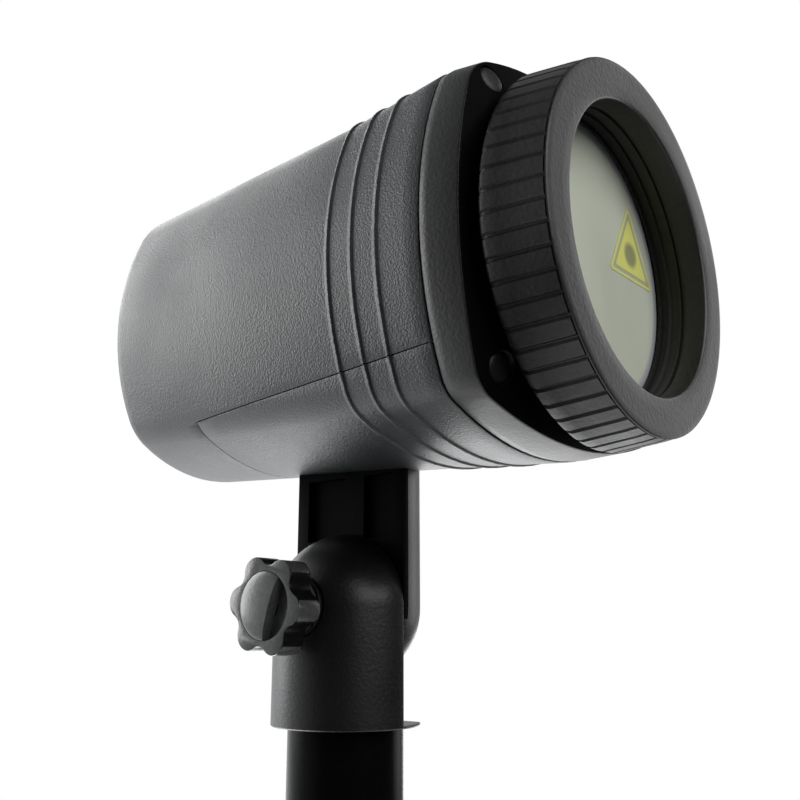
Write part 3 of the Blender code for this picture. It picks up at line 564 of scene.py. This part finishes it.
def front_frame():
    """Rounded-square frame whose front slopes forward from its edge, with wells and the ring's barrel."""
    edge = 0.7 * MM
    loops = [[(x, y, FRAME_REAR) for x, y in outline(JOINT_SECTION, 0.9 * MM)],
             [(x, y, FRAME_REAR + 0.15 * MM) for x, y in outline(JOINT_SECTION, 0.55 * MM)],
             [(x, y, FRAME_REAR + 0.6 * MM) for x, y in outline(JOINT_SECTION, 0.25 * MM)],
             [(x, y, FRAME_REAR + 2.8 * MM) for x, y in outline(JOINT_SECTION, 0.05 * MM)]]
    for step in range(5):
        angle = step / 4 * PI / 2
        loops.append([(x, y, FRONT_U - edge * (1 - math.sin(angle)))
                      for x, y in outline(FRONT_SECTION, edge * (1 - math.cos(angle)))])
    for reach in (0.5 * SLOPE_REACH, SLOPE_REACH):
        loops.append([(x * (1 - reach / math.hypot(x, y)), y * (1 - reach / math.hypot(x, y)),
                       FRONT_U + FRONT_SLOPE * reach) for x, y in outline(FRONT_SECTION, edge)])
    obj = piece("frame_body", loft(loops, True, True), FRAME_BLACK, OPTICAL, smooth=40)
    well_depth = 4 * MM
    tools = [tube_tool("frame_window", 38 * MM, FRAME_REAR - 4 * MM, FRONT_U + 4 * MM, OPTICAL, steps=96)]
    for index, centre in enumerate(screw_places()):
        tools.append(tube_tool(f"well_{index}", 3.85 * MM, FRONT_U - well_depth, FRONT_U + 4 * MM, OPTICAL,
                               centre, 40))
    carve(obj, tools)
    # Painted shade: the frame's front faces and well floors, shaded by the ring, take the darker, almost
    # unreflective black
    repaint(obj, SHADE_BLACK,
            lambda face: face.normal.y < -0.8 and -face.center.y > FRONT_U - well_depth - 0.2 * MM)
    bevel(obj, 0.35 * MM, 60, 2)
    hand_over(obj, "lamp", "black_plastic", "front_frame")

    barrel_r, end = 43.4 * MM, 88 * MM
    window_r, seat = 35.5 * MM, FRONT_U - 3.3 * MM
    profile = [(window_r, seat), (barrel_r, seat), (barrel_r, FRONT_U + 1.5 * MM)]
    for turn in range(5):
        low = FRONT_U + (2.0 + turn * 1.8) * MM
        profile += [(barrel_r - 0.5 * MM, low), (barrel_r, low + 0.6 * MM), (barrel_r, low + 1.2 * MM)]
    profile += [(barrel_r, end), (40 * MM, end), (40 * MM, 80 * MM), (window_r, 80 * MM)]
    barrel = piece("frame_barrel", lathe(profile), FRAME_BLACK, OPTICAL)
    hand_over(barrel, "lamp", "black_plastic")


def screw_places():
    return [(x * 35.8 * MM, (1.2 + y * 36.0) * MM) for y in (1, -1) for x in (-1, 1)]


def frame_screws():
    """Plain, slightly domed heads that nearly fill their wells and follow the frame's slope."""
    top, radius, shank_r = 77.6 * MM, 3.45 * MM, 1.6 * MM
    seat = top - 5.0 * MM
    profile = [(0, top), (1.6 * MM, top - 0.04 * MM), (2.7 * MM, top - 0.15 * MM),
               (3.2 * MM, top - 0.32 * MM), (radius, top - 0.6 * MM), (radius, seat), (shank_r, seat),
               (shank_r, seat - 12 * MM), (0, seat - 13.4 * MM)]
    for index, centre in enumerate(screw_places(), 1):
        bm = lathe(profile, 48, closed=False)
        outward = Vector((centre[0], centre[1])).normalized()
        for vert in bm.verts:
            if vert.co.z > top - MM:
                vert.co.z -= FRONT_SLOPE * (vert.co.x * outward.x + vert.co.y * outward.y)
        obj = piece(f"plain_screw_{index}", bm, SCREW_BLACK, OPTICAL @ Matrix.Translation((*centre, 0)))
        hand_over(obj, "lamp", "black_steel", f"frame_screw_{index}")


# ---------------------------------------------------------------- ring and glazing

def ring_profile():
    """(radius, station, knurl share) round the ring's section, from the mouth outwards."""
    front_r, rear_r, edge = 47.5 * MM, 49.1 * MM, 0.6 * MM
    knurl_front, knurl_rear = RING_FRONT - 1.0 * MM, RING_REAR + 2.5 * MM

    def skirt(u):
        return rear_r + (front_r - rear_r) * (u - knurl_rear) / (RING_FRONT - knurl_rear)

    profile = []
    mouth_round = 0.8 * MM
    for step in range(5):
        angle = step / 4 * PI / 2
        profile.append((BORE_R + mouth_round * (1 - math.cos(angle)),
                        RING_FRONT - mouth_round * (1 - math.sin(angle)), 0))
    profile += [(41.5 * MM, RING_FRONT + 0.05 * MM, 0), (45.6 * MM, RING_FRONT, 0)]
    for step in range(4):
        angle = step / 3 * PI / 2
        profile.append((front_r - edge * (1 - math.sin(angle)), RING_FRONT - edge * (1 - math.cos(angle)), 0))
    profile += [(46.75 * MM, RING_FRONT - 0.7 * MM, 0), (46.7 * MM, RING_FRONT - 0.95 * MM, 0),
                (skirt(knurl_front) - 0.15 * MM, knurl_front, 1)]
    for step in range(1, 6):
        u = knurl_front + (knurl_rear - knurl_front) * step / 5
        profile.append((skirt(u), u, 1))
    profile += [(rear_r - 0.33 * MM, RING_REAR + 1.25 * MM, 1),
                (rear_r - 1.25 * MM, RING_REAR + 0.33 * MM, 0.5), (rear_r - 2.5 * MM, RING_REAR, 0),
                (43.8 * MM, RING_REAR, 0), (43.8 * MM, 88.3 * MM, 0), (39.6 * MM, 88.3 * MM, 0),
                (39.6 * MM, LENS_FRONT + 0.6 * MM, 0)]
    lip = ((37.3, 82.95), (37.3, 84.4), (38.3, 84.6), (38.3, 86.6), (37.6, 86.85), (37.6, 87.15),
           (38.4, 87.5), (38.4, 89.9), (37.6, 90.15), (37.6, 90.45), (38.3, 90.75), (38.3, 91.85),
           (37.3, 91.95))
    return profile + [(radius * MM, max(u * MM, LENS_FRONT + 0.6 * MM), 0) for radius, u in lip]


def retaining_ring():
    """Ring with wide flats and narrow grooves along its skirt."""
    grooves, first = 58, math.radians(4.2)
    pattern = ((-0.42, 0.0), (-0.14, 0.0), (-0.075, 0.4), (-0.03, 0.6), (0.03, 0.6), (0.075, 0.4),
               (0.14, 0.0))
    angles = [(first + (index + share) * 2 * PI / grooves, cut)
              for index in range(grooves) for share, cut in pattern]
    bm = bmesh.new()
    rows = []
    for radius, u, knurl in ring_profile():
        row = [(radius - cut * knurl * MM, angle) for angle, cut in angles]
        rows.append([bm.verts.new((r * math.cos(angle), r * math.sin(angle), u)) for r, angle in row])
    for first_row, second_row in zip(rows, rows[1:] + rows[:1]):
        for i in range(len(angles)):
            j = (i + 1) % len(angles)
            bm.faces.new((first_row[i], first_row[j], second_row[j], second_row[i]))
    obj = piece("knurled_ring", bm, ring_black("ring_satin"), OPTICAL, smooth=28)
    hand_over(obj, "ring", "black_plastic", "retaining_ring")


def triangle(side, corner_r):
    """A rounded triangle about the label's middle, apex up, as (x, y) points."""
    points = []
    inner = side / math.sqrt(3) - 2 * corner_r
    for index in range(3):
        middle = PI / 2 + index * 2 * PI / 3
        for step in range(7):
            angle = middle + (step / 6 - 0.5) * 2 * PI / 3
            points.append((LABEL[0] + inner * math.cos(middle) + corner_r * math.cos(angle),
                           LABEL[1] + inner * math.sin(middle) + corner_r * math.sin(angle)))
    return points


def label():
    """Plain triangular sticker: a border line, a gap and a filled triangle with a soft dot."""
    base = LENS_FRONT + 0.02 * MM
    ink_low, ink_high = base + 0.07 * MM, base + 0.12 * MM
    outer, inner = triangle(25.6 * MM, 0.9 * MM), triangle(22.4 * MM, 0.5 * MM)
    backing = piece("label_backing", slab(outer, base, base + 0.06 * MM), INK_BACK, OPTICAL)
    hand_over(backing, "glazing", "label_film", "lens_label")
    bm = bmesh.new()
    rows = []
    for points, u in ((outer, ink_low), (outer, ink_high), (inner, ink_high), (inner, ink_low)):
        rows.append([bm.verts.new((x, y, u)) for x, y in points])
    for first, second in zip(rows, rows[1:] + rows[:1]):
        for i in range(len(outer)):
            j = (i + 1) % len(outer)
            bm.faces.new((first[i], first[j], second[j], second[i]))
    hand_over(piece("label_border", bm, INK_LINE, OPTICAL), "glazing", "label_film")
    field = slab(triangle(18.6 * MM, 0.5 * MM), ink_low, ink_high)
    hand_over(piece("label_triangle", field, INK_FIELD, OPTICAL), "glazing", "label_film")


def lens():
    """Round glass with eased edges."""
    rear, radius = depth("lens_glass", 0), 39.3 * MM
    profile = [(0, LENS_FRONT), (radius - 0.4 * MM, LENS_FRONT), (radius, LENS_FRONT - 0.4 * MM),
               (radius, rear + 0.4 * MM), (radius - 0.4 * MM, rear), (0, rear)]
    disc = piece("lens_disc", lathe(profile, closed=False), LENS, OPTICAL)
    hand_over(disc, "glazing", "hazy_glass", "lens_glass")


def cable_gland():
    """Strain relief with a collar, rounded bellows ribs and a bore."""
    height = (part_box("cable_gland")[0][2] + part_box("cable_gland")[1][2]) / 2 - AXIS_Z
    outer, end = REAR_U - 0.3 * MM, depth("cable_gland", 0)
    profile = [(2.2 * MM, outer + 8 * MM), (5.0 * MM, outer + 8 * MM), (5.0 * MM, outer), (6.6 * MM, outer),
               (7.2 * MM, outer - 0.5 * MM), (7.2 * MM, outer - 1.9 * MM), (6.6 * MM, outer - 2.5 * MM),
               (5.0 * MM, outer - 2.6 * MM)]
    for rib in range(5):
        top = outer - 3.2 * MM - rib * 3.4 * MM
        radius = 4.9 * MM - rib * 0.25 * MM
        profile += [(radius - 0.9 * MM, top), (radius, top - 0.6 * MM), (radius, top - 1.7 * MM),
                    (radius - 0.9 * MM, top - 2.3 * MM)]
    profile += [(3.2 * MM, end + 0.3 * MM), (2.9 * MM, end), (2.2 * MM, end)]
    obj = piece("strain_relief", lathe(profile, 48), RUBBER, OPTICAL @ Matrix.Translation((0, height, 0)))
    hand_over(obj, "lamp", "rubber", "cable_gland")


# ---------------------------------------------------------------- hinge

def half_post(name, sign, profile):
    """A turned post with a round end, cut flat on the hinge plane; sign picks the X side."""
    obj = piece(name, lathe(profile, 128, closed=False), HINGE_BLACK, HINGE)
    reach, plane = 100 * MM, sign * 0.15 * MM
    low, high = (plane, reach) if sign < 0 else (-reach, plane)
    half = block((low, -reach, -reach), (high, reach, reach))
    carve(obj, [piece("plane_" + name, half, HINGE_BLACK, HINGE)])
    bevel(obj, 1.3 * MM, 50, 4)
    settle(obj)
    return obj


def dome():
    """A quarter circle from the top of the hinge's round end to its side."""
    angles = [step / 20 * PI / 2 for step in range(21)]
    return [(HINGE_R * math.sin(angle), HINGE_R * math.cos(angle)) for angle in angles]


def hinge_leg():
    """Far hinge half, moulded on the belly: two shallow pockets with a rib between them."""
    top = 45 * MM
    obj = half_post("hinge_leg", 1, [(0, top), (HINGE_R, top)] + [(r, -z) for r, z in reversed(dome())])
    tools = []
    for index, (low, high) in enumerate(((-16.6 * MM, -5.8 * MM), (1.9 * MM, 16.6 * MM))):
        pocket = block((-4 * MM, low, 19.6 * MM), (1.95 * MM, high, 38 * MM))
        tools.append(piece(f"pocket_{index}", pocket, HINGE_BLACK, HINGE))
    tools.append(tube_tool("bolt_hole", 3.3 * MM, -5 * MM, 30 * MM, BOLT, steps=48))
    tools.append(tube_tool("bolt_seat", 8.8 * MM, 18.6 * MM, 30 * MM, BOLT))
    carve(obj, tools)
    # Painted shade: the leg's flat face and pockets, deep in shade under the casing, take the darker, almost
    # unreflective black
    repaint(obj, SHADE_BLACK,
            lambda face: face.center.x < 2.2 * MM and max(abs(part) for part in face.normal) > 0.99)
    bevel(obj, 0.3 * MM, 60, 2)
    hand_over(obj, "lamp", "shell_plastic")


def stake_head():
    """Near hinge half on a thin round flange with its spigot."""
    rim = POST_TOP - PIVOT_Z + 0.3 * MM
    obj = half_post("hinge_collar", -1,
                    dome() + [(HINGE_R, rim + 0.3 * MM), (HINGE_R - 0.3 * MM, rim), (0, rim)])
    tools = [tube_tool("washer_seat", 8.8 * MM, 18.6 * MM, 30 * MM, KNOB),
             tube_tool("knob_hole", 3.3 * MM, -5 * MM, 30 * MM, KNOB, steps=48)]
    carve(obj, tools)
    bevel(obj, 0.25 * MM, 60, 2)
    hand_over(obj, "fitting", "black_plastic", "stake_head")
    radius = 20.9 * MM
    profile = [(11.2 * MM, rim - 26 * MM), (13.7 * MM, rim - 26 * MM), (13.7 * MM, rim),
               (radius - 0.3 * MM, rim), (radius, rim + 0.3 * MM), (radius, rim + 0.5 * MM),
               (radius - 0.3 * MM, rim + 0.8 * MM), (0, rim + 0.8 * MM), (0, rim - 2 * MM),
               (11.2 * MM, rim - 2 * MM)]
    flange = piece("hinge_flange", lathe(profile, 128), HINGE_BLACK, HINGE)
    end = block((13 * MM, -30 * MM, rim - MM), (30 * MM, 30 * MM, rim + 3 * MM))
    carve(flange, [piece("flange_end", end, HINGE_BLACK, HINGE)])
    hand_over(flange, "fitting", "black_plastic")


def star_points(shrink=0.0):
    """Six round lobes joined by hollow arcs; shrink moves the outline inwards."""
    place, lobe_r, valley_place, valley_r = 9.3 * MM, 4.2 * MM - shrink, 13.6 * MM, 3.0 * MM + shrink
    joint = math.radians(70)
    points = []
    for lobe in range(6):
        base = KNOB_PHASE + lobe * PI / 3
        for step in range(15):
            angle = base + joint * (step / 7 - 1)
            points.append((place * math.cos(base) + lobe_r * math.cos(angle),
                           place * math.sin(base) + lobe_r * math.sin(angle)))
        middle = base + PI / 6
        for step in range(1, 8):
            angle = base + PI + joint - (2 * joint - PI / 3) * step / 8
            points.append((valley_place * math.cos(middle) + valley_r * math.cos(angle),
                           valley_place * math.sin(middle) + valley_r * math.sin(angle)))
    return points


def star_knob():
    """Six-lobed knob with crisp edges, hub and a round recess for its cap."""
    low = KNOB_FACE - 8 * MM
    loops = []
    for z, shrink in ((low, 0.7), (low + 0.12 * MM, 0.4), (low + 0.4 * MM, 0.1), (low + 0.9 * MM, 0.0),
                      (KNOB_FACE - 0.35 * MM, 0.0), (KNOB_FACE - 0.1 * MM, 0.1), (KNOB_FACE, 0.35)):
        loops.append([(x, y, z) for x, y in star_points(shrink * MM)])
    obj = piece("star_grip", loft(loops, True, True), KNOB_GREY, KNOB, smooth=40)
    carve(obj, [tube_tool("knob_hub", 7.5 * MM, -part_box("star_knob")[1][0], low + MM, KNOB)], "UNION")
    carve(obj, [tube_tool("cap_recess", 9.08 * MM, KNOB_FACE - 2.4 * MM, KNOB_FACE + 3 * MM, KNOB, steps=96),
                tube_tool("thread_hole", 3.3 * MM, 10 * MM, KNOB_FACE + MM, KNOB, steps=32)])

    # Painted shade: flank faces in the hollows between the lobes take the darker copy of the knob grey
    def in_hollow(face):
        reach = math.hypot(face.center.y, face.center.z - PIVOT_Z)
        return abs(face.normal.x) < 0.5 and 9.5 * MM < reach < 12.95 * MM

    repaint(obj, KNOB_FLANK_SHADE, in_hollow)
    hand_over(obj, "knob", "knob_plastic", "star_knob")


def knob_cap():
    """Domed disc with one straight side, which leaves a recess beside it."""
    floor, radius, rise = KNOB_FACE - 2.25 * MM, 9.0 * MM, 1.35 * MM
    profile = [(0, floor + 2.15 * MM + rise)]
    for step in range(1, 13):
        angle = step / 12 * PI / 2
        profile.append((radius * math.sin(angle), floor + 2.15 * MM + rise * math.cos(angle) ** 1.1))
    profile += [(radius, floor), (0, floor)]
    obj = piece("domed_cap", lathe(profile, closed=False), CAP_GREY, KNOB)
    cutter = block((-20 * MM, -20 * MM, floor - MM), (20 * MM, -2.9 * MM, floor + 9 * MM))
    carve(obj, [piece("cap_side", cutter, CAP_GREY, KNOB @ Matrix.Rotation(math.radians(-18), 4, "Z"))])
    bevel(obj, 0.3 * MM, 40, 3)
    hand_over(obj, "knob", "knob_plastic", "knob_cap")


def bolt_and_washer():
    """Round-headed bolt with cross slots and a threaded end, and the knob's flat washer."""
    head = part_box("hinge_bolt")[1][0]
    seat = head - 3.4 * MM
    profile = [(0, head), (2.5 * MM, head - 0.15 * MM), (4.6 * MM, head - 0.9 * MM),
               (5.7 * MM, head - 2.0 * MM), (6.0 * MM, seat + 0.6 * MM), (6.0 * MM, seat), (3.0 * MM, seat),
               (3.0 * MM, -12 * MM)]
    for turn in range(16):
        z = -12.4 * MM - turn * MM
        profile += [(2.55 * MM, z), (2.95 * MM, z - 0.5 * MM)]
    profile += [(2.4 * MM, -29.2 * MM), (0, -29.2 * MM)]
    bolt = piece("round_bolt", lathe(profile, 48, closed=False), ZINC, BOLT)
    slots = []
    for turn in (0.5, 0.5 + PI / 2):
        slot = block((-2.6 * MM, -0.55 * MM, head - 1.7 * MM), (2.6 * MM, 0.55 * MM, head + MM))
        slots.append(piece(f"drive_{turn:.1f}", slot, ZINC, BOLT @ Matrix.Rotation(turn, 4, "Z")))
    carve(bolt, slots)
    hand_over(bolt, "lamp", "steel", "hinge_bolt")
    low, high = -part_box("knob_washer")[1][0], -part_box("knob_washer")[0][0]
    disc = lathe([(8.2 * MM, high), (8.2 * MM, low), (3.3 * MM, low), (3.3 * MM, high)], 64)
    washer = piece("flat_washer", disc, SCREW_BLACK, KNOB)
    bevel(washer, 0.2 * MM)
    hand_over(washer, "washer", "black_steel", "knob_washer")


# ---------------------------------------------------------------- stake

def posts():
    """Two glossy tubes with eased ends; a stepped neck joins them."""
    inner, ease = 14 * MM, 0.35 * MM
    profile = [(POST_R, POST_TOP), (POST_R, POST_JOINT), (inner, POST_JOINT), (inner, POST_TOP)]
    upper = piece("tube_upper", lathe(profile, 128), POST_BLACK, WORLD)
    bevel(upper, ease)
    hand_over(upper, "stake", "black_plastic", "post_upper")
    shoulder, base, neck = POST_JOINT - 0.3 * MM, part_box("post_lower")[0][2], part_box("post_lower")[1][2]
    profile = [(13.7 * MM, neck), (13.7 * MM, shoulder), (POST_R, shoulder), (POST_R, base), (inner, base),
               (inner, shoulder - 8 * MM), (11.2 * MM, shoulder - 4 * MM), (11.2 * MM, neck)]
    lower = piece("tube_lower", lathe(profile, 128), POST_BLACK, WORLD)
    bevel(lower, ease)
    hand_over(lower, "stake", "black_plastic", "post_lower")


def ground_spike():
    """Hub and round stop plate above the soil, four tapering blades below."""
    hub, plate, fillet_out, fillet_up = 22 * MM, 4 * MM, 1.95 * MM, 2.5 * MM
    profile = [(11.2 * MM, SPIKE_TOP), (13.7 * MM, SPIKE_TOP), (13.7 * MM, hub), (POST_R, hub)]
    for step in range(7):
        angle = step / 6 * PI / 2
        profile.append((POST_R + fillet_out * (1 - math.cos(angle)),
                        plate + fillet_up * (1 - math.sin(angle)) + 0.2 * MM))
    profile += [(STOP_R - 1.2 * MM, plate), (STOP_R, plate - 1.2 * MM), (STOP_R, 0.5 * MM),
                (STOP_R - 0.5 * MM, 0), (0, 0), (0, plate), (11.2 * MM, plate)]
    obj = piece("stop_plate", lathe(profile, 128), SPIKE_BLACK, WORLD)
    hand_over(obj, "stake", "black_plastic", "ground_spike")
    rows = ((0.5 * MM, 13.0, 1.6), (-4 * MM, 13.0, 1.6), (0.35 * SPIKE_LOW, 13.0, 1.5),
            (0.7 * SPIKE_LOW, 7.2, 1.25), (0.97 * SPIKE_LOW, 2.0, 1.0), (SPIKE_LOW, 0.9, 0.54))
    loops = []
    for z, half, thick in rows:
        half, thick = half * MM, thick * MM
        points = []
        for quarter in range(4):
            cos_q, sin_q = round(math.cos(quarter * PI / 2)), round(math.sin(quarter * PI / 2))
            for x, y in ((half, -thick * 0.75), (half, thick * 0.75), (thick, thick)):
                points.append((x * cos_q - y * sin_q, x * sin_q + y * cos_q, z))
        loops.append(points)
    blades = piece("spike_blades", loft(loops, True, True), SPIKE_BLACK, WORLD)
    bevel(blades, 0.35 * MM, 30, 2)
    hand_over(blades, "stake", "black_plastic")


# ---------------------------------------------------------------- pieces kept from the frame

def paint(materials):
    """Give the CAD nodes that stay visible their materials."""
    for name, material in materials.items():
        for item in frame["nodes"][name].material_slots:
            item.material = material


def paint_inside():
    paint({
        "lens_seal": RUBBER,
        "gland_nut": FRAME_BLACK,
        "laser_bracket": ALUMINIUM,
        "heat_sink": ALUMINIUM,
        "laser_module_red": BRASS,
        "laser_module_green": BRASS,
        "grating_motor": ZINC,
        "grating_wheel": FILM,
        "driver_board": BOARD,
        **{f"board_screw_{index}": ZINC for index in range(1, 5)},
    })


# ---------------------------------------------------------------- studio

def area_light(name, direction, distance, size, power):
    """A soft box that looks at the hinge from a direction and a distance."""
    target = Vector((0, 0, 0.27))
    data = bpy.data.lights.new(name, "AREA")
    data.shape = "RECTANGLE"
    data.size, data.size_y = size
    data.energy = power
    obj = bpy.data.objects.new(name, data)
    way = Vector(direction).normalized()
    obj.location = target + way * distance
    obj.rotation_mode = "QUATERNION"
    obj.rotation_quaternion = way.to_track_quat("Z", "Y")
    obj.visible_camera = False
    bpy.context.scene.collection.objects.link(obj)


def studio():
    """White surroundings, bright behind the lamp and dim before it, with soft boxes and a pale floor."""
    world = bpy.data.worlds.new("studio")
    bpy.context.scene.world = world
    world.use_nodes = True
    tree = world.node_tree
    tree.nodes.clear()
    direction = tree.nodes.new("ShaderNodeTexCoord").outputs["Generated"]
    total = 0.05
    lobes = (((0.50, 0.86, 0.0), 0.25, 0.85, 0.65), ((-0.40, 0.90, 0.15), 0.45, 0.97, 0.8),
             ((0.22, 0.58, -0.78), 0.6, 0.95, 1.5))
    for axis, start, full, strength in lobes:
        dot = node(tree, "ShaderNodeVectorMath", operation="DOT_PRODUCT")
        tree.links.new(direction, dot.inputs[0])
        dot.inputs[1].default_value = axis
        spread = remap(tree, dot.outputs["Value"], 0.0, strength, start, full)
        total = math_node(tree, "ADD", spread, total)
    path = tree.nodes.new("ShaderNodeLightPath")
    seen, ambient = tree.nodes.new("ShaderNodeBackground"), tree.nodes.new("ShaderNodeBackground")
    seen.inputs["Color"].default_value = (1, 1, 1, 1)
    seen.inputs["Strength"].default_value = 1.0
    ambient.inputs["Color"].default_value = (0.96, 0.98, 1, 1)
    tree.links.new(total, ambient.inputs["Strength"])
    mix, out = tree.nodes.new("ShaderNodeMixShader"), tree.nodes.new("ShaderNodeOutputWorld")
    tree.links.new(path.outputs["Is Camera Ray"], mix.inputs["Fac"])
    tree.links.new(ambient.outputs["Background"], mix.inputs[1])
    tree.links.new(seen.outputs["Background"], mix.inputs[2])
    tree.links.new(mix.outputs["Shader"], out.inputs["Surface"])

    area_light("softbox_rear_left", (-0.32, 0.90, 0.26), 1.2, (0.6, 0.9), 8)
    area_light("softbox_rear_top", (0.28, 0.76, 0.58), 1.2, (0.7, 0.6), 5)
    area_light("softbox_right", (0.93, -0.26, 0.26), 1.1, (0.5, 1.2), 3.0)
    area_light("softbox_low_right", (0.80, 0.48, -0.36), 0.8, (0.4, 0.4), 1.4)
    area_light("softbox_below", (0.25, 0.55, -0.80), 0.42, (0.2, 0.2), 0.9)
    area_light("softbox_front", (-0.08, -0.86, 0.50), 1.0, (0.9, 0.8), 7)

    floor_r, floor_t = 0.4, 0.02
    bm = lathe([(0, 0), (floor_r, 0), (floor_r, -floor_t), (0, -floor_t)], 96, closed=False)
    mat, tree, shader = new_material("pale_floor", (0.80, 0.80, 0.79), 0.7)
    tint(tree, shader, (0.78, 0.78, 0.77), (0.82, 0.82, 0.81), noise(tree, coordinates(tree), 6, 3.0))
    floor = piece("floor", bm, mat, Matrix.Translation((0, 0, SPIKE_LOW - 0.5 * MM)))


def camera():
    """Three quarters from the front left, below the lamp and looking up."""
    azimuth, elevation = math.radians(-50.84), math.radians(-13.71)
    back = Vector((math.sin(azimuth) * math.cos(elevation), -math.cos(azimuth) * math.cos(elevation),
                   math.sin(elevation)))
    data = bpy.data.cameras.new("camera")
    data.sensor_width = 36
    data.lens = 42.96
    data.clip_start = 0.01
    data.clip_end = 50
    obj = bpy.data.objects.new("camera", data)
    obj.location = (-208.71 * MM, -189.56 * MM, PIVOT_Z - 6.97 * MM)
    obj.rotation_mode = "QUATERNION"
    obj.rotation_quaternion = (-back).to_track_quat("-Z", "Y")
    bpy.context.scene.collection.objects.link(obj)
    bpy.context.scene.camera = obj
    bpy.context.scene.view_settings.view_transform = "Standard"
    bpy.context.scene.view_settings.look = "None"


casing()
front_frame()
frame_screws()
retaining_ring()
lens()
label()
cable_gland()
hinge_leg()
stake_head()
star_knob()
knob_cap()
bolt_and_washer()
posts()
ground_spike()
paint_inside()
studio()
camera()
